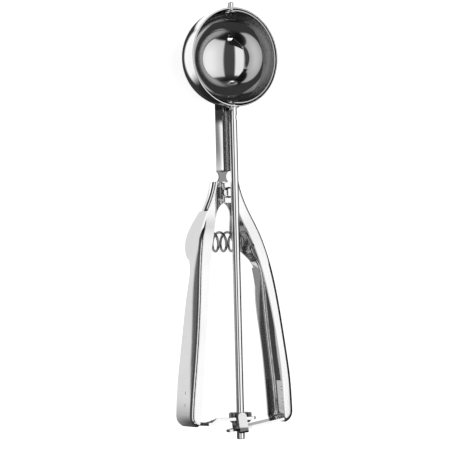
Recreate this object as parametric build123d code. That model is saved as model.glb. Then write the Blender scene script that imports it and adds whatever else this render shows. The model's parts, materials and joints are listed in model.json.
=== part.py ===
from build123d import *
import os
from math import asin, atan, cos, degrees, pi, radians, sin, sqrt, tan

# Lever ice cream scoop in millimetres.
# The pieces are drawn in the scoop's upright frame: the bowl's centre is the origin, the drive rod
# runs down the Y axis, the bowl opens towards +Z and the handles spread along X.
# set_down() then lays the whole scoop on its back, bowl open upwards, on the XY plane.

# ---- bowl ----
bowl_inner_radius = 25.0
bowl_wall = 0.8
bowl_lip = 4.3                  # straight wall above the hemisphere
rim_rounding = 0.3

# ---- wiper: blade, top pin, drive rod, pinion ----
blade_clearance = 0.3           # between the blade and the bowl's inside
blade_thickness = 0.5
blade_width = 10.5
blade_droop = 3.2               # degrees the parked blade's middle lies below the rim plane
top_pin_radius = 1.65
top_pin_reach = 28.75           # end of the pin above the bowl's centre
pin_head_radius = 2.8
pin_head_height = 0.9
rod_radius = 2.05
rod_neck_radius = 1.65
rod_groove_radius = 1.8
rod_shoulder = 26.1             # distance of the rod's shoulder below the bowl's centre
rod_groove_top = 29.9
rod_groove_bottom = 32.5
rod_end = 198.05
rod_end_rounding = 0.6
bushing_wall = 0.5
bushing_flange_radius = 3.2
collar_radius = 2.8
collar_height = 0.9

# ---- rack and pinion ----
tooth_count = 10
tooth_module = 1.0
pressure_angle = 20.0
tooth_play = 0.3                # thinning of each tooth at the pitch line
pinion_top = 184.2
pinion_height = 5.2
pinion_lower_chamfer = 1.2
pinion_upper_chamfer = 0.4
rack_tip_play = 0.1
rack_thickness = 1.5
rack_back = 2.9                 # pitch line to the front edge of the rack
rack_tip_reach = 5.5
rack_level = 187.0              # middle of the toothed arm below the bowl's centre
joggle_start = 21.5
joggle_end = 18.5
spacer_radius = 2.75

# ---- guide bar and clip ----
bar_thickness = 1.3
bar_half_width = 4.75
bar_tip_half_width = 1.75
bar_level = 192.3               # middle of the bar where the rod passes through it
bar_slope = 0.152
bar_tip_reach = 7.6
clip_width = 4.4
clip_thickness = 0.85
clip_inner_reach = 9.75         # rod axis to the inside of the clip's plates
clip_front_height = 9.9
clip_back_height = 5.0
clip_bend_radius = 1.2
clip_turn = 20.0                # degrees the clip is turned about the rod

# ---- pivot and stem ----
pivot_distance = 69.9
ear_radius = 5.4
ear_front = -7.0                # outer face of the front ear
ear_back = -15.0
rivet_radius = 1.5
rivet_head_radius = 2.9
rivet_head_height = 1.7
tail_height = 0.9
washer_radius = 3.4
washer_thickness = 0.5
nest_gap = 0.15                 # between the ears that lie on each other
stem_width = 8.0
stem_front = -4.2
stem_back = -12.7
stem_wall = 1.0
stem_corner = 1.6
stem_wall_end = 58.6
stem_waist_half = 2.1
stem_waist_middle = 61.4
stem_notch_radius = 3.1
tongue_ear_radius = 5.0
spacer_wall = 1.0

# ---- handles ----
handle_wall = 1.0
handle_corner = 2.2
handle_end = 190.8
handle_end_radius = 6.0
handle_top = 64.2
curl_end_half = 27.0
flange_end = 187.7
# outer face of the web: half spread and distance below the bowl's centre
web_line = [(7.7, 64.2), (9.6, 71.0), (15.4, 84.0), (20.4, 100.0), (23.8, 120.0), (27.1, 147.0),
            (29.6, 167.0), (31.1, 191.0)]
# free edge of the front flange
front_edge_line = [(2.2, 75.4), (5.3, 78.2), (7.6, 83.0), (10.2, 90.0), (13.5, 100.0), (17.6, 120.0),
                   (21.6, 147.0), (25.4, 187.7)]
# free edge of the back flange, with its lobe behind the spring
back_edge_line = [(2.2, 75.4), (4.8, 78.6), (5.9, 85.0), (6.9, 93.0), (11.2, 99.7), (15.6, 105.0),
                  (18.0, 120.0), (21.6, 147.0), (25.4, 187.7)]
# height of the front and back faces below the flat ears
flat_ear_end = 77.5
front_face_line = [(-4.7, 90.0), (-2.2, 100.0), (1.3, 120.0), (3.5, 147.0), (4.0, 167.0), (3.2, 193.0)]
back_face_line = [(-16.4, 86.0), (-17.6, 95.0), (-15.9, 102.0), (-12.0, 109.5), (-12.0, 119.0),
                  (-13.3, 136.0), (-14.0, 157.0), (-14.3, 193.0)]

# ---- thumb rest ----
thumb_top = 79.5
thumb_bottom = 104.5
thumb_line = [(-14.2, 79.5), (-17.6, 86.5), (-19.6, 94.0), (-18.0, 99.5), (-13.4, 104.5)]

# ---- spring ----
spring_distance = 95.5
spring_height = -10.4
spring_radius = 5.25            # to the middle of the wire
wire_radius = 0.6
spring_pitch = 5.45
spring_half_length = 15.2

# ---- strap rivets ----
strap_top = 169.0
strap_straight_end = 184.0
strap_back = -8.0
strap_front = 1.0
strap_rivets = (173.1, 179.4)
strap_rivet_radius = 0.8
strap_rivet_head = 1.15
strap_rivet_rise = 0.4

# ---- clearances ----
running_fit = 0.05
seat_fit = 0.01
seat_gap = 0.05

# ---- squeeze ----
wiper_sweep = 180 - 2 * blade_droop

bowl_outer_radius = bowl_inner_radius + bowl_wall
blade_outer_radius = bowl_inner_radius - blade_clearance
blade_inner_radius = blade_outer_radius - blade_thickness
pitch_radius = tooth_module * tooth_count / 2
rack_pitch = pi * tooth_module
rack_arm_length = rack_level - pivot_distance
squeeze_angle = degrees(atan(pitch_radius * radians(wiper_sweep) / rack_arm_length))
bar_tilt = degrees(atan(bar_slope))


def turned(steps):
    """Solid of revolution about the Y axis from (radius, y) corners that start and end on the axis."""
    outline = make_face(Polyline(*steps, close=True))
    return revolve(outline, Axis.Y)


def rod_along_y(radius, start, end):
    return Pos(0, (start + end) / 2, 0) * Rot(90, 0, 0) * Cylinder(radius, abs(end - start))


def disc_along_z(radius, start, end, distance):
    return Pos(0, -distance, (start + end) / 2) * Cylinder(radius, abs(end - start))


def cup(radius, top):
    wall = Line((radius, top), (radius, 0))
    floor = CenterArc((0, 0), radius, -90, 90)
    face = make_face([wall, floor, Line((0, -radius), (0, top)), Line((0, top), (radius, top))])
    return revolve(Plane.XZ * face, Axis.Z)


def make_bowl():
    shell = cup(bowl_outer_radius, bowl_lip) - cup(bowl_inner_radius, bowl_lip + 1)
    shell = fillet(shell.edges().group_by(Axis.Z)[-1], rim_rounding)
    shell -= rod_along_y(top_pin_radius + running_fit, 0, bowl_outer_radius + 1)
    shell -= rod_along_y(rod_neck_radius + running_fit + bushing_wall, 0, -bowl_outer_radius - 1)
    return shell


def make_wiper_blade():
    half = blade_width / 2
    strip = Pos(bowl_outer_radius / 2, 0, 0) * Box(bowl_outer_radius, 2 * bowl_outer_radius, blade_width)
    strip += rod_along_y(half, -bowl_outer_radius, bowl_outer_radius)
    blade = Rot(0, 0, 180) * (Sphere(blade_outer_radius) - Sphere(blade_inner_radius)) & strip
    blade -= rod_along_y(top_pin_radius + seat_fit, 0, bowl_outer_radius)
    blade -= rod_along_y(rod_neck_radius + seat_fit, 0, -bowl_outer_radius)
    return Rot(0, blade_droop, 0) * blade


def head_seat(radius):
    """Distance from the bowl's centre at which a flat head of this radius meets the blade."""
    return sqrt(blade_inner_radius ** 2 - radius ** 2) - seat_fit


def make_top_pin():
    seat = head_seat(pin_head_radius)
    tip_bevel = 0.35
    return turned([(0, seat - pin_head_height), (pin_head_radius - 0.5, seat - pin_head_height),
                   (pin_head_radius, seat - 0.5), (pin_head_radius, seat), (top_pin_radius, seat),
                   (top_pin_radius, top_pin_reach - tip_bevel),
                   (top_pin_radius - tip_bevel, top_pin_reach), (0, top_pin_reach)])


def make_blade_collar():
    seat = head_seat(collar_radius)
    bore = rod_neck_radius + seat_fit
    ring = turned([(0, -seat), (collar_radius, -seat), (collar_radius, 0.4 - seat),
                   (collar_radius - 0.5, collar_height - seat), (0, collar_height - seat)])
    return ring - rod_along_y(bore, -seat - 1, collar_height - seat + 1)


def make_drive_rod():
    neck_top = -head_seat(collar_radius) + collar_height + 0.3
    rod = turned([(0, neck_top), (rod_neck_radius - 0.4, neck_top), (rod_neck_radius, neck_top - 0.4),
                  (rod_neck_radius, -rod_shoulder), (rod_radius, -rod_shoulder),
                  (rod_radius, -rod_groove_top), (rod_groove_radius, -rod_groove_top),
                  (rod_groove_radius, -rod_groove_bottom), (rod_radius, -rod_groove_bottom),
                  (rod_radius, -rod_end), (0, -rod_end)])
    return fillet(rod.edges().group_by(Axis.Y)[0], rod_end_rounding)


def make_rod_bushing():
    bore = rod_neck_radius + running_fit
    shank = bore + bushing_wall - seat_fit
    flange = rod_along_y(bushing_flange_radius, -bowl_outer_radius + 1, -rod_shoulder + running_fit)
    flange -= cup(bowl_outer_radius + seat_fit, bowl_lip)
    body = rod_along_y(shank, -bowl_inner_radius, -rod_shoulder + running_fit) + flange
    return body - rod_along_y(bore, -bowl_inner_radius + 1, -rod_shoulder - 1)


def involute_point(radius, half_angle_at_pitch):
    """Point of a tooth's flank at this radius; the tooth is centred on +Y of its own plane."""
    base = pitch_radius * cos(radians(pressure_angle))
    if radius <= base:
        spread = tan(radians(pressure_angle)) - radians(pressure_angle)
    else:
        roll = sqrt((radius / base) ** 2 - 1)
        spread = tan(radians(pressure_angle)) - radians(pressure_angle) - (roll - atan(roll))
    angle = half_angle_at_pitch + spread
    return radius * sin(angle), radius * cos(angle)


def make_pinion():
    outer = pitch_radius + tooth_module
    root = pitch_radius - 1.25 * tooth_module
    base = pitch_radius * cos(radians(pressure_angle))
    half_angle = (rack_pitch / 2 - tooth_play) / 2 / pitch_radius
    right = [involute_point(radius, half_angle) for radius in (base, pitch_radius, 5.5, outer - 0.02)]
    foot = (involute_point(base, half_angle)[0] * 0.9, root - 0.6)
    left = [(-x, y) for x, y in reversed(right)]
    flank_right = Spline(*right)
    flank_left = Spline(*left)
    tooth = make_face([Line(foot, right[0]), flank_right, Line(right[-1], left[0]), flank_left,
                       Line(left[-1], (-foot[0], foot[1])), Line((-foot[0], foot[1]), foot)])
    wheel = Circle(root)
    for index in range(tooth_count):
        wheel += Rot(0, 0, index * 360 / tooth_count) * tooth
    wheel -= Circle(rod_radius + seat_fit)
    # the sketch's +Y becomes +Z and the wheel grows down the rod
    solid = extrude(Plane(origin=(0, -pinion_top, 0), x_dir=(1, 0, 0), z_dir=(0, -1, 0)) * wheel,
                    pinion_height)
    low = -pinion_top - pinion_height
    blank = turned([(0, -pinion_top), (outer - pinion_upper_chamfer, -pinion_top),
                    (outer, -pinion_top - pinion_upper_chamfer), (outer, low + pinion_lower_chamfer),
                    (outer - pinion_lower_chamfer, low), (0, low)])
    return solid & blank


def make_rod_spacer():
    bar_top = bar_level - bar_thickness / 2 / cos(radians(bar_tilt)) - spacer_radius * bar_slope
    ring = rod_along_y(spacer_radius, -pinion_top - pinion_height - seat_fit, -bar_top + running_fit)
    return ring - rod_along_y(rod_radius + seat_fit, -pinion_top, -bar_level)


def mirrored(points):
    return [(-x, y) for x, y in points]


def drop(points):
    """Turns (offset, distance below the bowl) pairs into sketch points."""
    return [(offset, -distance) for offset, distance in points]


def inset_curve(curve, inset):
    """Spline that runs beside a curve in the XY plane, inset to the right of its direction."""
    if not inset:
        return curve
    steps = 14
    points = []
    for index in range(steps + 1):
        tangent = curve.tangent_at(index / steps)
        points.append(curve.position_at(index / steps) + Vector(tangent.Y, -tangent.X) * inset)
    return Spline(*points)


def web_region(inset):
    """Plan of a handle's outer envelope, moved inwards by inset and open towards the middle."""
    far = -20 - inset
    overrun = 5 if inset else 0
    web = inset_curve(Spline(*drop(web_line)), inset)
    top, bottom = web.position_at(0), web.position_at(1)
    lead = Vector(top.X, -handle_top + overrun)
    corners = [bottom, Vector(far, bottom.Y), Vector(far, lead.Y), lead]
    edges = [web] + [Line(start, end) for start, end in zip(corners, corners[1:])]
    if overrun:
        edges.append(Line(lead, top))
    face = make_face(edges)
    face -= Pos(0, -handle_end + inset - 50) * Rectangle(400, 100)
    corner = face.vertices().sort_by(Axis.X)[-1]
    return fillet(corner, handle_end_radius - inset)


def face_region(ear_shift, inset):
    """Side view of a handle's outer envelope: the sketch's x is the height z, its y is along the rod."""
    flat_start = handle_top - 10
    front_top, back_top = ear_front - ear_shift, ear_back + ear_shift
    front = inset_curve(Spline((front_top, -flat_ear_end), *drop(front_face_line),
                               tangents=[(0, -1), (0, -1)]), inset)
    back = inset_curve(Spline((back_top, -flat_ear_end), *drop(back_face_line),
                              tangents=[(0, -1), (0, -1)]), -inset)
    front_lead = Vector(front.position_at(0).X, -flat_start)
    back_lead = Vector(back.position_at(0).X, -flat_start)
    return make_face([Line(front_lead, front.position_at(0)), front,
                      Line(front.position_at(1), back.position_at(1)), back,
                      Line(back.position_at(0), back_lead), Line(back_lead, front_lead)])


def envelope(ear_shift, inset, rounding):
    """Solid bounded by the web and the two faces, with its long outer edges rounded."""
    depth = 50
    plan = extrude(Plane((0, 0, -depth)) * web_region(inset), 2 * depth)
    side_plane = Plane((depth, 0, 0), x_dir=(0, 0, 1), z_dir=(-1, 0, 0))
    block = plan & extrude(side_plane * face_region(ear_shift, inset), 2 * depth)
    edges = [edge for edge in block.edges()
             if edge.bounding_box().min.X > 5 and abs(edge.position_at(0).Y - edge.position_at(1).Y) > 1]
    return fillet(edges, rounding)


def flange_region(edge_line):
    """Plan of one flange: the ear round the pivot and the band outside the free edge."""
    free = Spline(*drop(edge_line))
    far = 60
    band = make_face([free, Line(free.position_at(1), (curl_end_half, -handle_end)),
                      Line((curl_end_half, -handle_end), (far, -handle_end)),
                      Line((far, -handle_end), (far, -handle_top)),
                      Line((far, -handle_top), (0, -handle_top)),
                      Line((0, -handle_top), (0, -pivot_distance)),
                      Line((0, -pivot_distance), free.position_at(0))])
    return band + Pos(0, -pivot_distance) * Circle(ear_radius)


def channel(ear_shift, hole_radius, back_line):
    """Right-hand channel: a web with a front and a back flange that end in ears."""
    outer = envelope(ear_shift, 0, handle_corner)
    inner = envelope(ear_shift, handle_wall, handle_corner - handle_wall)
    shell = outer - inner
    middle = (ear_front + ear_back) / 2
    front = extrude(Plane((0, 0, middle)) * flange_region(front_edge_line), 40)
    back = extrude(Plane((0, 0, middle - 40)) * flange_region(back_line), 40)
    shell = (shell & front) + (shell & back)
    return shell - disc_along_z(hole_radius, ear_back - 1, ear_front + 1, pivot_distance)


def web_strip(inset, thickness):
    """Plan of a band of this thickness that follows the web, inset from its outer face."""
    return web_region(inset) - web_region(inset + thickness)


def thumb_tab():
    """Plate in the plane of the web that stands out behind the handle."""
    root = handle_corner + 6
    edge = Spline(*drop(thumb_line))
    inner = [(edge.position_at(1).X + root, edge.position_at(1).Y),
             (edge.position_at(0).X + root, edge.position_at(0).Y)]
    outline = make_face([edge, Line(edge.position_at(1), inner[0]), Line(inner[0], inner[1]),
                         Line(inner[1], edge.position_at(0))])
    depth = 50
    # a hundredth inside the web's faces, so that the two merge cleanly
    plate = extrude(Plane((0, 0, -depth)) * web_strip(seat_fit, handle_wall - 2 * seat_fit), 2 * depth)
    side_plane = Plane((depth, 0, 0), x_dir=(0, 0, 1), z_dir=(-1, 0, 0))
    return plate & extrude(side_plane * outline, depth)


def thumb_window():
    """Space where the back flange is opened flat into the thumb tab."""
    top, bottom = thumb_top + 2, thumb_bottom - 2
    height = bottom - top
    return Pos(0, -(top + bottom) / 2, -20) * Box(100, height, 2 * (20 - 10))


def make_right_handle():
    handle = channel(0, rivet_radius + seat_fit, back_edge_line)
    return handle - strap_rivet_holes(1, bar_thickness)


def make_left_handle():
    nest = handle_wall + nest_gap
    handle = channel(nest, rivet_radius + running_fit, back_edge_line)
    handle = handle - thumb_window() + thumb_tab()
    handle -= strap_rivet_holes(1, rack_thickness)
    return mirror(handle, Plane.YZ)


def web_offset(distance):
    """Half spread of the web's outer face at this distance below the bowl."""
    web = Spline(*drop(web_line))
    low, high = 0.0, 1.0
    for _ in range(40):
        middle = (low + high) / 2
        if -web.position_at(middle).Y < distance:
            low = middle
        else:
            high = middle
    return web.position_at(low).X


def strap_line(thickness):
    """Start and lean of the middle of a strap that lies against the inside of the web."""
    sink = handle_wall + thickness / 2 + seat_gap
    top = web_offset(strap_top) - sink
    low = web_offset(strap_straight_end) - sink
    return top, (low - top) / (strap_straight_end - strap_top)


def strap_offset(distance, thickness):
    """Half spread of the strap's middle line at this distance below the bowl."""
    top, lean = strap_line(thickness)
    return top + lean * (distance - strap_top)


def strap_axis(distance, side, thickness):
    """Plane on the inner face of a strap, with its normal pointing inwards; side is 1 right, -1 left."""
    lean = strap_line(thickness)[1]
    x = strap_offset(distance, thickness) - thickness / 2 * sqrt(1 + lean ** 2)
    height = (strap_back + strap_front) / 2
    return Plane((side * x, -distance, height), x_dir=(0, 0, 1), z_dir=(-side, -lean, 0))


def strap_rivet_holes(side, thickness):
    """Cutters for the strap rivets' holes in the web and the strap."""
    hole_length = 12
    radius = strap_rivet_radius + seat_fit
    return [strap_axis(d, side, thickness) * Cylinder(radius, hole_length) for d in strap_rivets]


def strap_rivet_group(thickness, side):
    """Rivets with a low round head on the strap and a tail that ends inside the web."""
    rivets = []
    length = handle_wall + thickness - 0.1
    for distance in strap_rivets:
        profile = [(0, -length), (strap_rivet_radius, -length), (strap_rivet_radius, seat_fit),
                   (strap_rivet_head, seat_fit), (strap_rivet_head - 0.35, strap_rivet_rise),
                   (0, strap_rivet_rise)]
        rivets.append(strap_axis(distance, side, thickness) * (Rot(90, 0, 0) * turned(profile)))
    return Compound(children=rivets)


def strap_solid(path, thickness, outline):
    """Bent strap: its path is drawn in plan and its outline in the view down the rod."""
    band = trace(path, thickness)
    solid = extrude(Plane((0, 0, -20)) * band, 40)
    top_view = Plane((0, -strap_top + 5, 0), x_dir=(1, 0, 0), z_dir=(0, -1, 0))
    # in this view the sketch's y is +Z
    return solid & extrude(top_view * outline, 40)


def make_toothed_rack():
    floor = -handle_end + handle_wall + rack_thickness / 2 + 2 * seat_gap
    top = strap_offset(strap_top, rack_thickness)
    knee = strap_offset(-floor, rack_thickness)
    arm = -rack_level
    path = FilletPolyline((-top, -strap_top), (-knee, floor), (-joggle_start, floor),
                          (-joggle_end, arm), (rack_tip_reach, arm), radius=[4.2, 1.2, 1.2])
    back, front = pitch_radius - tooth_module + rack_tip_play, pitch_radius + rack_back
    outline = make_face(Polyline((-40, strap_back), (-40, strap_front), (-25.6, strap_front),
                                 (-23.6, front), (3.6, front), (rack_tip_reach, front - 1.6),
                                 (rack_tip_reach, back + 1.0), (4.6, back), (-20.6, back),
                                 (-25.0, strap_back), close=True))
    strap = strap_solid(path, rack_thickness, outline)
    strap -= rack_gaps()
    return strap - strap_rivet_holes(-1, rack_thickness)


def rack_gaps():
    """Cutter for the spaces between the rack's teeth; one space lies in front of the rod."""
    slope = tan(radians(pressure_angle))
    depth = 1.25 * tooth_module
    half = (rack_pitch / 2 + tooth_play) / 2
    wide = half + (tooth_module + 1) * slope
    narrow = half - depth * slope
    gap = make_face(Polyline((-wide, pitch_radius - tooth_module - 1), (wide, pitch_radius - tooth_module - 1),
                             (narrow, pitch_radius + depth), (-narrow, pitch_radius + depth), close=True))
    first, last = -6, 1
    top_view = Plane((0, -rack_level + 5, 0), x_dir=(1, 0, 0), z_dir=(0, -1, 0))
    gaps = Sketch() + [Pos(index * rack_pitch, 0) * gap for index in range(first, last + 1)]
    return extrude(top_view * gaps, 10)


def make_rack_rivets():
    return strap_rivet_group(rack_thickness, -1)


def make_guide_bar():
    top, lean = strap_line(bar_thickness)
    knee = (strap_offset(bar_level, bar_thickness)) / (1 + lean * bar_slope)
    path = FilletPolyline((top, -strap_top), (knee, -bar_level + bar_slope * knee),
                          (-bar_tip_reach, -bar_level - bar_slope * bar_tip_reach), radius=[4.4])
    outline = make_face(Polyline((40, strap_back), (40, strap_front), (25.8, strap_front),
                                 (24.0, bar_half_width), (4.0, bar_half_width),
                                 (-bar_tip_reach, bar_tip_half_width),
                                 (-bar_tip_reach, -bar_tip_half_width), (4.0, -bar_half_width),
                                 (24.0, -bar_half_width), (25.8, strap_back), close=True))
    bar = strap_solid(path, bar_thickness, outline)
    bar -= rod_along_y(rod_radius + running_fit, -bar_level + 10, -rod_end)
    return bar - strap_rivet_holes(1, bar_thickness)


def make_guide_bar_rivets():
    return strap_rivet_group(bar_thickness, 1)


def make_guide_clip():
    reach = clip_inner_reach + clip_thickness / 2
    floor = -clip_thickness / 2
    path = FilletPolyline((-reach, clip_back_height), (-reach, floor), (reach, floor),
                          (reach, clip_front_height), radius=[clip_bend_radius, clip_bend_radius])
    # the sketch's x becomes +Z
    side_plane = Plane((clip_width / 2, 0, 0), x_dir=(0, 0, 1), z_dir=(-1, 0, 0))
    strap = extrude(side_plane * trace(path, clip_thickness), clip_width)
    half = clip_width / 2
    front_shape = Pos(0, (clip_front_height - half) / 2 - 5) * Rectangle(clip_width, clip_front_height - half + 10)
    front_shape += Pos(0, clip_front_height - half) * Circle(half)
    strap = strap & extrude(Plane((0, 0, -20)) * front_shape, 40)
    under = bar_level + (bar_thickness / 2 + seat_fit) / cos(radians(bar_tilt))
    strap = Pos(0, -under, 0) * Rot(0, 0, bar_tilt) * Rot(0, -clip_turn, 0) * strap
    return strap - rod_along_y(rod_radius + running_fit, -bar_level + 8, -rod_end)


def make_stem():
    height = stem_front - stem_back
    middle = (stem_front + stem_back) / 2
    outer = Pos(0, middle) * Rectangle(stem_width, height)
    outer = fillet(outer.vertices().group_by(Axis.Y)[0], stem_corner)
    inner = Pos(0, middle + stem_wall) * Rectangle(stem_width - 2 * stem_wall, height)
    inner = fillet(inner.vertices().group_by(Axis.Y)[0], stem_corner - stem_wall)
    # the sketch's y becomes +Z and the channel grows towards the bowl
    section = Plane((0, -stem_wall_end, 0), x_dir=(-1, 0, 0), z_dir=(0, 1, 0)) * (outer - inner)
    body = extrude(section, stem_wall_end - 15)
    body -= Sphere(bowl_outer_radius + seat_fit)
    ear_top = pivot_distance - 1
    plate = Pos(0, -(stem_wall_end - 1 + ear_top) / 2) * Rectangle(stem_width, ear_top - stem_wall_end + 1)
    plate += Pos(0, -pivot_distance) * Circle(tongue_ear_radius)
    for side in (-1, 1):
        notch = stem_waist_half + stem_notch_radius
        plate -= Pos(side * notch, -stem_waist_middle) * Circle(stem_notch_radius)
    below = Pos(0, -(stem_wall_end + 30)) * Rectangle(40, 60)
    corners = [Pos(side * (tongue_ear_radius + 1.5), -64.6) * Rectangle(4, 5) for side in (-1, 1)]
    plate = (plate & below) - corners[0] - corners[1]
    tongue = extrude(Plane((0, 0, stem_back)) * plate, stem_wall)
    return body + tongue - disc_along_z(rivet_radius + seat_fit, stem_back - 1, stem_front, pivot_distance)


def make_pivot_rivet():
    tail_start = ear_back - washer_thickness - seat_fit
    head_start = ear_front + seat_fit
    outline = Polyline((0, tail_start - tail_height), (2.0, tail_start - tail_height),
                       (2.5, tail_start - 0.3), (2.5, tail_start), (rivet_radius, tail_start),
                       (rivet_radius, head_start), (rivet_head_radius, head_start),
                       (rivet_head_radius, head_start + 0.9), (rivet_head_radius - 0.9,
                       head_start + rivet_head_height), (0, head_start + rivet_head_height), close=True)
    return Pos(0, -pivot_distance, 0) * revolve(Plane.XZ * make_face(outline), Axis.Z)


def make_pivot_spacer():
    back = stem_back + stem_wall + seat_fit
    front = ear_front - 2 * handle_wall - nest_gap - running_fit
    ring = disc_along_z(rivet_radius + seat_fit + spacer_wall, back, front, pivot_distance)
    return ring - disc_along_z(rivet_radius + seat_fit, back - 1, front + 1, pivot_distance)


def make_pivot_washer():
    back = ear_back - washer_thickness
    ring = disc_along_z(washer_radius, back, ear_back - seat_fit / 2, pivot_distance)
    return ring - disc_along_z(rivet_radius + seat_fit, back - 1, ear_back + 1, pivot_distance)


def make_return_spring():
    length = 2 * spring_half_length - 2 * wire_radius
    helix = Helix(spring_pitch, length, spring_radius)
    section = Plane(helix.position_at(0), z_dir=helix.tangent_at(0)) * Circle(wire_radius)
    coil = sweep(section, path=helix, is_frenet=True)
    start = -length / 2
    return Pos(start, -spring_distance, spring_height) * Rot(0, 90, 0) * coil


# ---- resting pose ----
# The scoop lies on the bowl's pole and on the back edges of the handles' lower ends.
rest_distance = 184.0
rest_height = -14.3
rest_reach = sqrt(rest_distance ** 2 + rest_height ** 2)
lean_angle = degrees(asin(bowl_outer_radius / rest_reach) - atan(-rest_height / rest_distance))
rest_shift_y = (rod_end - top_pin_reach) / 2 * cos(radians(lean_angle))


def lay_down():
    """Location that lays the upright scoop on its back with its box centred over the origin."""
    return Pos(0, rest_shift_y, bowl_outer_radius) * Rot(lean_angle, 0, 0)


makers = {
    "bowl": make_bowl,
    "stem": make_stem,
    "right_handle": make_right_handle,
    "guide_bar": make_guide_bar,
    "guide_bar_rivets": make_guide_bar_rivets,
    "guide_clip": make_guide_clip,
    "pivot_rivet": make_pivot_rivet,
    "pivot_spacer": make_pivot_spacer,
    "pivot_washer": make_pivot_washer,
    "rod_bushing": make_rod_bushing,
    "return_spring": make_return_spring,
    "left_handle": make_left_handle,
    "toothed_rack": make_toothed_rack,
    "rack_rivets": make_rack_rivets,
    "wiper_blade": make_wiper_blade,
    "blade_collar": make_blade_collar,
    "top_pin": make_top_pin,
    "drive_rod": make_drive_rod,
    "pinion": make_pinion,
    "rod_spacer": make_rod_spacer,
}


def build_all():
    """Writes one STEP file for each piece."""
    os.makedirs("parts", exist_ok=True)
    for name, maker in makers.items():
        piece = lay_down() * maker()
        piece.label = name
        export_step(piece, f"parts/{name}.step")


if __name__ == "__main__":
    build_all()
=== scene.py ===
import json
import math

import bmesh
import bpy
from mathutils import Matrix, Vector


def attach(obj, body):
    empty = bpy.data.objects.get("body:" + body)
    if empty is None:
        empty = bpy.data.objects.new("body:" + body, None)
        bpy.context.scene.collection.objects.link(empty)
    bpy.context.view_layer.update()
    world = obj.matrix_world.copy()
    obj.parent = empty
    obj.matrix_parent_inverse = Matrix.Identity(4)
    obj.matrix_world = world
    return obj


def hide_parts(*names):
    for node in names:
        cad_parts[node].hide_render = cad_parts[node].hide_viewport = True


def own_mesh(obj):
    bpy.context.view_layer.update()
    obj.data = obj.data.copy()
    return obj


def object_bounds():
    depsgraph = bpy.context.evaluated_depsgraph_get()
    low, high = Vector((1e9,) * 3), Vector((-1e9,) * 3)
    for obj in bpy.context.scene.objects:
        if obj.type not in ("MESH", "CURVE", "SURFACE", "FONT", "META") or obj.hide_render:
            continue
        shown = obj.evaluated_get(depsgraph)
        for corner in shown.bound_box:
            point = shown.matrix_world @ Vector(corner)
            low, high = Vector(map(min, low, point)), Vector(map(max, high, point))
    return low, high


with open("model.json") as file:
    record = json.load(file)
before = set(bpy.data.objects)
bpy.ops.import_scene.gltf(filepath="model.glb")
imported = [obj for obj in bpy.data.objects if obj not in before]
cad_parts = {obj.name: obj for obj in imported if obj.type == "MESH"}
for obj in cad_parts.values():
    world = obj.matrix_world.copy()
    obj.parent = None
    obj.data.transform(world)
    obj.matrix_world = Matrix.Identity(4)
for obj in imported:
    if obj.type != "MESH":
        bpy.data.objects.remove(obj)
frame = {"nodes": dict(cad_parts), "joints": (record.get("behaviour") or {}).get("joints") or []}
cad_low, cad_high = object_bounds()
nodes = frame["nodes"]
joints = {joint["name"]: joint for joint in frame["joints"]}

# ---- the scoop's own directions, read from its joints ----
ROD = Vector(joints["wiper_turn"]["axis"]).normalized()
OPEN = Vector(joints["squeeze"]["axis"]).normalized()
RIGHT = ROD.cross(OPEN).normalized()
BOWL_CENTRE = Vector(joints["wiper_turn"]["pos_m"])
MM = 0.001


def at(x, y, z):
    """Row-frame point from millimetres in the scoop's upright frame, whose origin is the bowl's centre."""
    return BOWL_CENTRE + (RIGHT * x + ROD * y + OPEN * z) * MM


def direction(x, y, z):
    """Row-frame unit direction from one in the scoop's upright frame."""
    return (RIGHT * x + ROD * y + OPEN * z).normalized()


# ---- camera, with its lengths in millimetres ----
CAMERA_AZIMUTH = math.radians(31.0)      # how far the camera stands left of the scoop's front
CAMERA_DISTANCE = 1200.0
CAMERA_LEVEL = -112.0                    # height along the rod from which the scoop is seen
CAMERA_ROLL = math.radians(1.40)
TARGET_LEVEL = -89.6                     # height along the rod of the point that is looked at
TARGET_SIDE = -3.0                       # and how far it lies beside the rod
FRAME_WIDTH = 238.7                      # width of the view at the rod
SENSOR_WIDTH = 36.0
NEAR_CLIP = 0.05                         # in metres, as the next one
FAR_CLIP = 20.0


def make_camera():
    """Camera of the photograph; gives back its right, up and backward directions."""
    side = Vector((math.cos(CAMERA_AZIMUTH), 0, math.sin(CAMERA_AZIMUTH)))
    toward = Vector((-math.sin(CAMERA_AZIMUTH), 0, math.cos(CAMERA_AZIMUTH)))
    target = side * TARGET_SIDE + Vector((0, TARGET_LEVEL, 0))
    spot = target + toward * CAMERA_DISTANCE
    spot.y = CAMERA_LEVEL
    place, aim = at(*spot), at(*target)
    back = (place - aim).normalized()
    up = ROD * math.cos(CAMERA_ROLL) + direction(*side) * math.sin(CAMERA_ROLL)
    right = up.cross(back).normalized()
    up = back.cross(right)
    data = bpy.data.cameras.new("photo_camera")
    data.sensor_width = SENSOR_WIDTH
    data.lens = SENSOR_WIDTH * CAMERA_DISTANCE / FRAME_WIDTH
    data.clip_start = NEAR_CLIP
    data.clip_end = FAR_CLIP
    camera = bpy.data.objects.new("photo_camera", data)
    bpy.context.scene.collection.objects.link(camera)
    camera.matrix_world = Matrix((right, up, back)).transposed().to_4x4()
    camera.location = place
    bpy.context.scene.camera = camera
    return right, up, back


CAM_RIGHT, CAM_UP, CAM_BACK = make_camera()


# ---- shader helpers ----
def new_material(name):
    """Material with a plain surface shader; gives back the material, its node tree and the shader."""
    material = bpy.data.materials.new(name)
    material.use_nodes = True
    tree = material.node_tree
    tree.nodes.clear()
    shader = tree.nodes.new("ShaderNodeBsdfPrincipled")
    output = tree.nodes.new("ShaderNodeOutputMaterial")
    tree.links.new(shader.outputs["BSDF"], output.inputs["Surface"])
    return material, tree, shader


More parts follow.
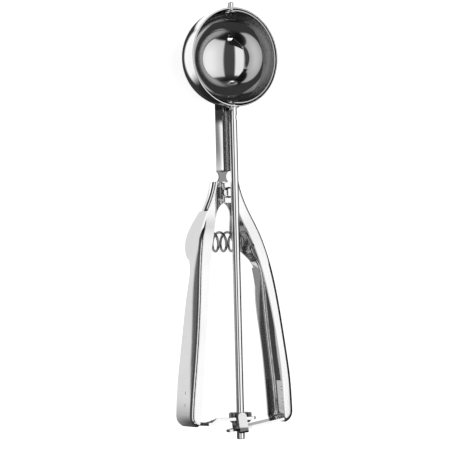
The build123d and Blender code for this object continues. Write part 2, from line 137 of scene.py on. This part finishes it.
def math_node(tree, operation, first, second=None):
    """One calculation on one or two values, each a number or a socket."""
    node = tree.nodes.new("ShaderNodeMath")
    node.operation = operation
    for socket, value in zip(node.inputs, (first, second)):
        if isinstance(value, (int, float)):
            socket.default_value = value
        elif value is not None:
            tree.links.new(value, socket)
    return node.outputs[0]


def band(tree, value, low, high, edge):
    """1 between low and high, fading to 0 over the edge."""
    parts = []
    for start, stop in ((low - edge, low + edge), (high + edge, high - edge)):
        node = tree.nodes.new("ShaderNodeMapRange")
        node.interpolation_type = "SMOOTHSTEP"
        node.inputs["From Min"].default_value = start
        node.inputs["From Max"].default_value = stop
        tree.links.new(value, node.inputs["Value"])
        parts.append(node.outputs["Result"])
    return math_node(tree, "MULTIPLY", parts[0], parts[1])


def add_patch(tree, level, across, along, power):
    """The level with a patch added where both bands are 1."""
    shape = math_node(tree, "MULTIPLY", across, along)
    return math_node(tree, "ADD", math_node(tree, "MULTIPLY", shape, power), level)


def dot(tree, vector, axis):
    """How far a vector socket reaches along an axis."""
    node = tree.nodes.new("ShaderNodeVectorMath")
    node.operation = "DOT_PRODUCT"
    tree.links.new(vector, node.inputs[0])
    node.inputs[1].default_value = axis
    return node.outputs["Value"]


def ramp(tree, source, places, values):
    """Grey that goes from the first value to the second between two places on the source."""
    node = tree.nodes.new("ShaderNodeValToRGB")
    for element, place, value in zip(node.color_ramp.elements, places, values):
        element.position = place
        element.color = (value, value, value, 1)
    tree.links.new(source, node.inputs["Fac"])
    return node.outputs["Color"]


def noise(tree, coordinates, scale, detail, stretch=None):
    """Noise over the coordinates, drawn out where the stretch is below 1."""
    texture = tree.nodes.new("ShaderNodeTexNoise")
    texture.inputs["Scale"].default_value = scale
    texture.inputs["Detail"].default_value = detail
    if stretch:
        mapping = tree.nodes.new("ShaderNodeMapping")
        mapping.inputs["Scale"].default_value = stretch
        tree.links.new(coordinates, mapping.inputs["Vector"])
        coordinates = mapping.outputs["Vector"]
    tree.links.new(coordinates, texture.inputs["Vector"])
    return texture.outputs["Fac"]


# ---- materials ----
CLOUD_SCALE = 60.0                 # uneven tone, in spots per metre
CLOUD_DETAIL = 4.0
CLOUD_PLACES = (0.3, 0.7)
TONE_SPREAD = 0.02                 # how far the tone strays either way
LINE_SCALE = 900.0                 # fine polishing lines
LINE_DETAIL = 3.0
LINE_PLACES = (0.3, 0.75)
LINE_HEIGHT = 0.00002              # in metres
ALONG_ROD = (1.0, 0.04, 1.0)       # draws the lines out along the scoop
ALONG_GROUND_ROD = (1.0, 0.06, 1.0)
ZONE_EDGE = 0.5                    # in millimetres

# Darker stretches along the rod, in millimetres from the bowl's centre, with the share of the tone kept. On
# the stem, the stretch at the notch is painted shade in the notch's recess, and the stretch at the bowl
# darkens the weld.
STEM_NOTCH_SHADE_AND_WELD_ZONES = [(-64.2, -58.2, 0.28), (-26.9, -18.0, 0.3)]     # tongue at the notch, weld at the bowl
# The clip's stretch is painted shade on its lower bend, which turns under, away from the light.
CLIP_BEND_SHADE_ZONES = [(-195.5, -191.4, 0.22)]                        # the clip's lower bend


def darken_zones(tree, colour, zones):
    """The colour, darker within the zones."""
    place = tree.nodes.new("ShaderNodeNewGeometry").outputs["Position"]
    for start, stop, share in zones:
        level = math_node(tree, "SUBTRACT", dot(tree, place, ROD), BOWL_CENTRE.dot(ROD))
        inside = band(tree, level, start * MM, stop * MM, ZONE_EDGE * MM)
        keep = math_node(tree, "SUBTRACT", 1.0, math_node(tree, "MULTIPLY", inside, 1.0 - share))
        scaled = tree.nodes.new("ShaderNodeVectorMath")
        scaled.operation = "SCALE"
        tree.links.new(colour, scaled.inputs[0])
        tree.links.new(keep, scaled.inputs["Scale"])
        colour = scaled.outputs["Vector"]
    return colour


def steel(name, tone, roughness, brush=None, brush_depth=0.1, spread=0.04, zones=()):
    """Steel with a slightly uneven tone and fine lines, which the roughness and the bump follow.

    The brush draws the lines out, and the spread is how much rougher they get.
    """
    material, tree, shader = new_material(name)
    coordinates = tree.nodes.new("ShaderNodeTexCoord").outputs["Object"]
    shader.inputs["Metallic"].default_value = 1.0
    cloud = noise(tree, coordinates, CLOUD_SCALE, CLOUD_DETAIL)
    fine = noise(tree, coordinates, LINE_SCALE, LINE_DETAIL, brush)
    colour = ramp(tree, cloud, CLOUD_PLACES, (tone - TONE_SPREAD, tone + TONE_SPREAD))
    tree.links.new(darken_zones(tree, colour, zones), shader.inputs["Base Color"])
    rough = ramp(tree, fine, LINE_PLACES, (roughness, roughness + spread))
    tree.links.new(rough, shader.inputs["Roughness"])
    bump = tree.nodes.new("ShaderNodeBump")
    bump.inputs["Strength"].default_value = brush_depth
    bump.inputs["Distance"].default_value = LINE_HEIGHT
    tree.links.new(fine, bump.inputs["Height"])
    tree.links.new(bump.outputs["Normal"], shader.inputs["Normal"])
    return material


MATERIALS = {
    "bowl": steel("mirror_steel", tone=0.63, roughness=0.03, brush_depth=0.05, spread=0.03),
    "sheet": steel("polished_steel", tone=0.73, roughness=0.07, brush=ALONG_ROD),
    "stem": steel("stem_steel", tone=0.74, roughness=0.08, brush=ALONG_ROD, zones=STEM_NOTCH_SHADE_AND_WELD_ZONES),
    "clip": steel("clip_steel", tone=0.90, roughness=0.10, zones=CLIP_BEND_SHADE_ZONES),
    "rod": steel("ground_steel", tone=0.80, roughness=0.06, brush=ALONG_GROUND_ROD),
    "blade": steel("blade_steel", tone=0.45, roughness=0.22, brush=ALONG_ROD),
    "wire": steel("spring_wire", tone=0.36, roughness=0.16),
    "dark": steel("sintered_steel", tone=0.34, roughness=0.28, brush_depth=0.5, spread=0.12),
}
# Nodes that aren't of the handles' polished sheet.
NODE_MATERIALS = {
    "bowl": "bowl",
    "wiper_blade": "blade",
    "drive_rod": "rod",
    "top_pin": "rod",
    "stem": "stem",
    "guide_clip": "clip",
    "return_spring": "wire",
    "pinion": "dark",
    "rod_spacer": "dark",
}


def dress_nodes():
    """Gives each CAD node its steel."""
    for name, piece in nodes.items():
        piece.data.materials.clear()
        piece.data.materials.append(MATERIALS[NODE_MATERIALS.get(name, "sheet")])


dress_nodes()


# ---- mesh helpers ----
def add_mesh(name, vertices, faces):
    """New piece in the scene, with these points and faces."""
    mesh = bpy.data.meshes.new(name)
    mesh.from_pydata(vertices, [], faces)
    mesh.update()
    piece = bpy.data.objects.new(name, mesh)
    bpy.context.scene.collection.objects.link(piece)
    return piece


def circle(centre, first, second, radius, sides):
    """Points round a centre, in the plane of two unit directions that are square to each other."""
    points = []
    for side in range(sides):
        angle = 2 * math.pi * side / sides
        points.append(centre + (first * math.cos(angle) + second * math.sin(angle)) * radius)
    return points


def wall_faces(rings, sides):
    """Four-sided faces between circles that follow one another."""
    faces = []
    for ring in range(rings - 1):
        start = ring * sides
        for side in range(sides):
            other = (side + 1) % sides
            faces.append((start + side, start + other, start + sides + other, start + sides + side))
    return faces


# ---- rivet tails, nearly flush with the outsides of the handles, in millimetres ----
TAIL_RADIUS = 1.15
TAIL_THICKNESS = 0.105
TAIL_EDGE = (0.94, 0.6)            # shares of the radius and of the thickness where its edge is cut back
WEB_NORMAL = (24.0, 1.5)           # square to the handles' webs at the rivets: across and up
END_DEPTH = 0.03                   # a rivet's points this near its farthest one are on its end
MERGE_DISTANCE = 0.000001          # in metres


def loose_parts(piece):
    """Point clouds of the separate parts of a CAD node in the row frame, from the bowl's end downwards.

    The points are taken in the mesh's own order, so that every run gives the same numbers.
    """
    mesh = bmesh.new()
    mesh.from_mesh(piece.data)
    bmesh.ops.remove_doubles(mesh, verts=mesh.verts, dist=MERGE_DISTANCE)
    seen = set()
    clouds = []
    for start in mesh.verts:
        if start in seen:
            continue
        seen.add(start)
        stack = [start]
        cloud = []
        while stack:
            vertex = stack.pop()
            cloud.append(piece.matrix_world @ vertex.co)
            for edge in vertex.link_edges:
                other = edge.other_vert(vertex)
                if other not in seen:
                    seen.add(other)
                    stack.append(other)
        clouds.append(cloud)
    mesh.free()
    return sorted(clouds, key=lambda cloud: max(point.dot(ROD) for point in cloud), reverse=True)


def disc(name, centre, outward, radius, thickness, sides=32):
    """Low round plate on a face, with its edge cut back."""
    first = outward.cross(ROD).normalized()
    second = outward.cross(first)
    edge_radius, edge_height = TAIL_EDGE
    rings = [(radius, 0.0), (radius, thickness * edge_height), (radius * edge_radius, thickness)]
    vertices = []
    for ring_radius, height in rings:
        vertices += circle(centre + outward * height, first, second, ring_radius, sides)
    top = tuple(range(len(vertices) - sides, len(vertices)))
    return add_mesh(name, vertices, wall_faces(len(rings), sides) + [top])


def make_rivet_tails():
    """A tail on the outer end of each rivet that holds the rack and the guide bar."""
    for node, side, body in (("rack_rivets", -1, "left_lever"), ("guide_bar_rivets", 1, "frame")):
        outward = direction(side * WEB_NORMAL[0], WEB_NORMAL[1], 0)
        for number, cloud in enumerate(loose_parts(nodes[node]), 1):
            reach = max(point.dot(outward) for point in cloud)
            end = [point for point in cloud if point.dot(outward) > reach - END_DEPTH * MM]
            centre = sum(end, Vector()) / len(end)
            tail = disc(f"{node}_tail_{number}", centre, outward, TAIL_RADIUS * MM, TAIL_THICKNESS * MM)
            tail.data.materials.append(MATERIALS["sheet"])
            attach(tail, body)


make_rivet_tails()


# ---- spring, in millimetres ----
# Its wire is thicker and its coils are closer than the CAD spring's, as in the photograph. They are also
# a little narrower, so that they clear the left handle's front flange when the scoop is squeezed.
SPRING_LEVEL = -95.5
SPRING_HEIGHT = -10.5
SPRING_RADIUS = 4.95               # to the middle of the wire
SPRING_PITCH = 4.9
SPRING_HALF_LENGTH = 15.2
WIRE_RADIUS = 0.68
COIL_BOTTOM = -1.45                # where across the scoop one coil has its lowest point
COIL_STEPS = 420


def tube(name, points, radius, sides=14):
    """Round bar with closed ends along a line of row-frame points."""
    vertices = []
    for index, point in enumerate(points):
        ahead = points[min(index + 1, len(points) - 1)] - points[max(index - 1, 0)]
        ahead.normalize()
        first = ahead.cross(RIGHT).normalized()
        vertices += circle(point, first, ahead.cross(first), radius, sides)
    first_end = tuple(range(sides))
    last_end = tuple(range(len(vertices) - 1, len(vertices) - sides - 1, -1))
    piece = add_mesh(name, vertices, wall_faces(len(points), sides) + [first_end, last_end])
    piece.data.shade_smooth()
    return piece


def make_spring():
    """Coil spring between the handles, which shortens towards the fixed right one."""
    half = SPRING_HALF_LENGTH - WIRE_RADIUS
    points = []
    for index in range(COIL_STEPS + 1):
        x = -half + 2 * half * index / COIL_STEPS
        turn = math.pi + 2 * math.pi * (x - COIL_BOTTOM) / SPRING_PITCH
        points.append(at(x, SPRING_LEVEL + SPRING_RADIUS * math.cos(turn),
                         SPRING_HEIGHT + SPRING_RADIUS * math.sin(turn)))
    spring = tube("spring_coils", points, WIRE_RADIUS * MM)
    spring.data.materials.append(MATERIALS["wire"])
    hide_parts("return_spring")
    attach(spring, "frame")
    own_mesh(spring)


make_spring()


# ---- floor ----
FLOOR_REACH = 4.0                  # in metres from its middle
FLOOR_TONE = 0.9
FLOOR_ROUGHNESS = 0.9
FLOOR_GLOW = 0.74                  # light from under the pale table top, which keeps the shadows faint
DARK_FLOOR = 0.05                  # what the steel mirrors in the floor outside the cards
# What the steel mirrors in the floor: pale cards on the dark ground, in metres and brightness. The edges
# say how far a card's sides and its ends fade. Its sides run along the scoop, or lean outwards by the
# slant towards the handles' lower ends.
FLOOR_CARDS = [
    # under the left handle, a narrow bright one and a wide dim one
    {"x": (-0.0271, -0.012), "y": (-0.099, 0.030), "power": 0.80, "edges": (0.0005, 0.012), "slant": 0.147},
    {"x": (-0.060, -0.012), "y": (-0.110, 0.030), "power": 0.10, "edges": (0.003, 0.012)},
    # left of the bowl and above it
    {"x": (-0.085, -0.028), "y": (0.064, 0.260), "power": 1.40, "edges": (0.003, 0.008)},
    {"x": (-0.028, 0.012), "y": (0.116, 0.260), "power": 1.40, "edges": (0.003, 0.003)},
    # left of the stem and under it
    {"x": (-0.026, -0.014), "y": (0.022, 0.054), "power": 1.20, "edges": (0.001, 0.002)},
    {"x": (-0.014, 0.000), "y": (0.022, 0.054), "power": 0.25, "edges": (0.001, 0.002)},
    # between the handles
    {"x": (-0.012, 0.034), "y": (-0.104, 0.022), "power": 0.60, "edges": (0.003, 0.010)},
]


def make_floor():
    """Pale table top, in which the steel mirrors the floor cards."""
    corners = [(-FLOOR_REACH, -FLOOR_REACH, 0), (FLOOR_REACH, -FLOOR_REACH, 0),
               (FLOOR_REACH, FLOOR_REACH, 0), (-FLOOR_REACH, FLOOR_REACH, 0)]
    floor = add_mesh("floor", corners, [(0, 1, 2, 3)])
    floor.location.z = cad_low.z
    material, tree, shader = new_material("pale_floor")
    shader.inputs["Base Color"].default_value = (FLOOR_TONE, FLOOR_TONE, FLOOR_TONE, 1)
    shader.inputs["Roughness"].default_value = FLOOR_ROUGHNESS
    shader.inputs["Emission Color"].default_value = (1, 1, 1, 1)
    shader.inputs["Emission Strength"].default_value = FLOOR_GLOW
    place = tree.nodes.new("ShaderNodeNewGeometry").outputs["Position"]
    level = DARK_FLOOR
    for card in FLOOR_CARDS:
        side_edge, end_edge = card["edges"]
        across = band(tree, dot(tree, place, (1, -card.get("slant", 0), 0)), *card["x"], side_edge)
        along = band(tree, dot(tree, place, (0, 1, 0)), *card["y"], end_edge)
        level = add_patch(tree, level, across, along, card["power"])
    glow = tree.nodes.new("ShaderNodeEmission")
    tree.links.new(level, glow.inputs["Color"])
    mirrored = tree.nodes.new("ShaderNodeLightPath").outputs["Is Glossy Ray"]
    mix = tree.nodes.new("ShaderNodeMixShader")
    tree.links.new(mirrored, mix.inputs["Fac"])
    tree.links.new(shader.outputs["BSDF"], mix.inputs[1])
    tree.links.new(glow.outputs["Emission"], mix.inputs[2])
    output = next(node for node in tree.nodes if node.type == "OUTPUT_MATERIAL")
    tree.links.new(mix.outputs["Shader"], output.inputs["Surface"])
    floor.data.materials.append(material)


make_floor()


# ---- upright dark cards, which only the steel sees ----
DARK_CARD_TONE = 0.03
# Two opposite corners of each, in metres.
DARK_CARDS = [
    ((0.080, -0.160, 0.002), (0.080, 0.000, 0.097)),         # draws the dark outer edge of the right handle
    ((-0.110, 0.0575, 0.000), (-0.006, 0.0575, 0.045)),      # clears a light spot from the bowl's lower left
]


def make_dark_cards():
    """Dark cards that the camera doesn't see and that cast no shadow."""
    material, _, shader = new_material("dark_card")
    shader.inputs["Base Color"].default_value = (DARK_CARD_TONE, DARK_CARD_TONE, DARK_CARD_TONE, 1)
    shader.inputs["Roughness"].default_value = 1.0
    for (x0, y0, low), (x1, y1, high) in DARK_CARDS:
        corners = [(x0, y0, low), (x1, y1, low), (x1, y1, high), (x0, y0, high)]
        card = add_mesh("dark_card", corners, [(0, 1, 2, 3)])
        card.data.materials.append(material)
        card.visible_camera = False
        card.visible_diffuse = False
        card.visible_shadow = False


make_dark_cards()


# ---- light ----
ROOM_LIGHT = 0.015
# Light panels of the studio, in degrees and brightness. The azimuth is counted to the right from behind
# the camera, and the edge says how far a panel's borders fade.
PANELS = [
    {"azimuth": (20, 92), "height": (-44, 42), "power": 0.80, "edge": 3},      # wide panel on the right
    {"azimuth": (34, 80), "height": (-30, 36), "power": 0.45, "edge": 22},     # its bright middle
    {"azimuth": (-31, -9), "height": (-38, 40), "power": 1.15, "edge": 3},     # narrow panel on the left
    {"azimuth": (-75, -36), "height": (-50, 50), "power": 0.05, "edge": 6},    # dim wall on the left
    {"azimuth": (-8, 12), "height": (-54, -47), "power": 3.0, "edge": 3},      # low lamp
    {"azimuth": (102, 140), "height": (-42, 42), "power": 0.10, "edge": 8},    # pale wall far on the right
    {"azimuth": (-180, 180), "height": (-42, 42), "power": 0.07, "edge": 12},  # walls of the room
]


def make_world():
    """Dim room with light panels round the photographer, and a white backdrop that only the camera sees."""
    world = bpy.data.worlds.new("studio")
    bpy.context.scene.world = world
    world.use_nodes = True
    tree = world.node_tree
    background = tree.nodes["Background"]
    ray = tree.nodes.new("ShaderNodeTexCoord").outputs["Generated"]
    azimuth = math_node(tree, "ARCTAN2", dot(tree, ray, CAM_RIGHT), dot(tree, ray, CAM_BACK))
    height = math_node(tree, "ARCSINE", dot(tree, ray, CAM_UP))
    level = ROOM_LIGHT
    for panel in PANELS:
        edge = math.radians(panel["edge"])
        across = band(tree, azimuth, *map(math.radians, panel["azimuth"]), edge)
        upward = band(tree, height, *map(math.radians, panel["height"]), edge)
        level = add_patch(tree, level, across, upward, panel["power"])
    tree.links.new(level, background.inputs["Color"])
    backdrop = tree.nodes.new("ShaderNodeBackground")
    backdrop.inputs["Color"].default_value = (1.0, 1.0, 1.0, 1)
    seen = tree.nodes.new("ShaderNodeLightPath").outputs["Is Camera Ray"]
    mix = tree.nodes.new("ShaderNodeMixShader")
    tree.links.new(seen, mix.inputs["Fac"])
    tree.links.new(background.outputs["Background"], mix.inputs[1])
    tree.links.new(backdrop.outputs["Background"], mix.inputs[2])
    tree.links.new(mix.outputs["Shader"], tree.nodes["World Output"].inputs["Surface"])


make_world()
bpy.context.scene.view_settings.view_transform = "Standard"
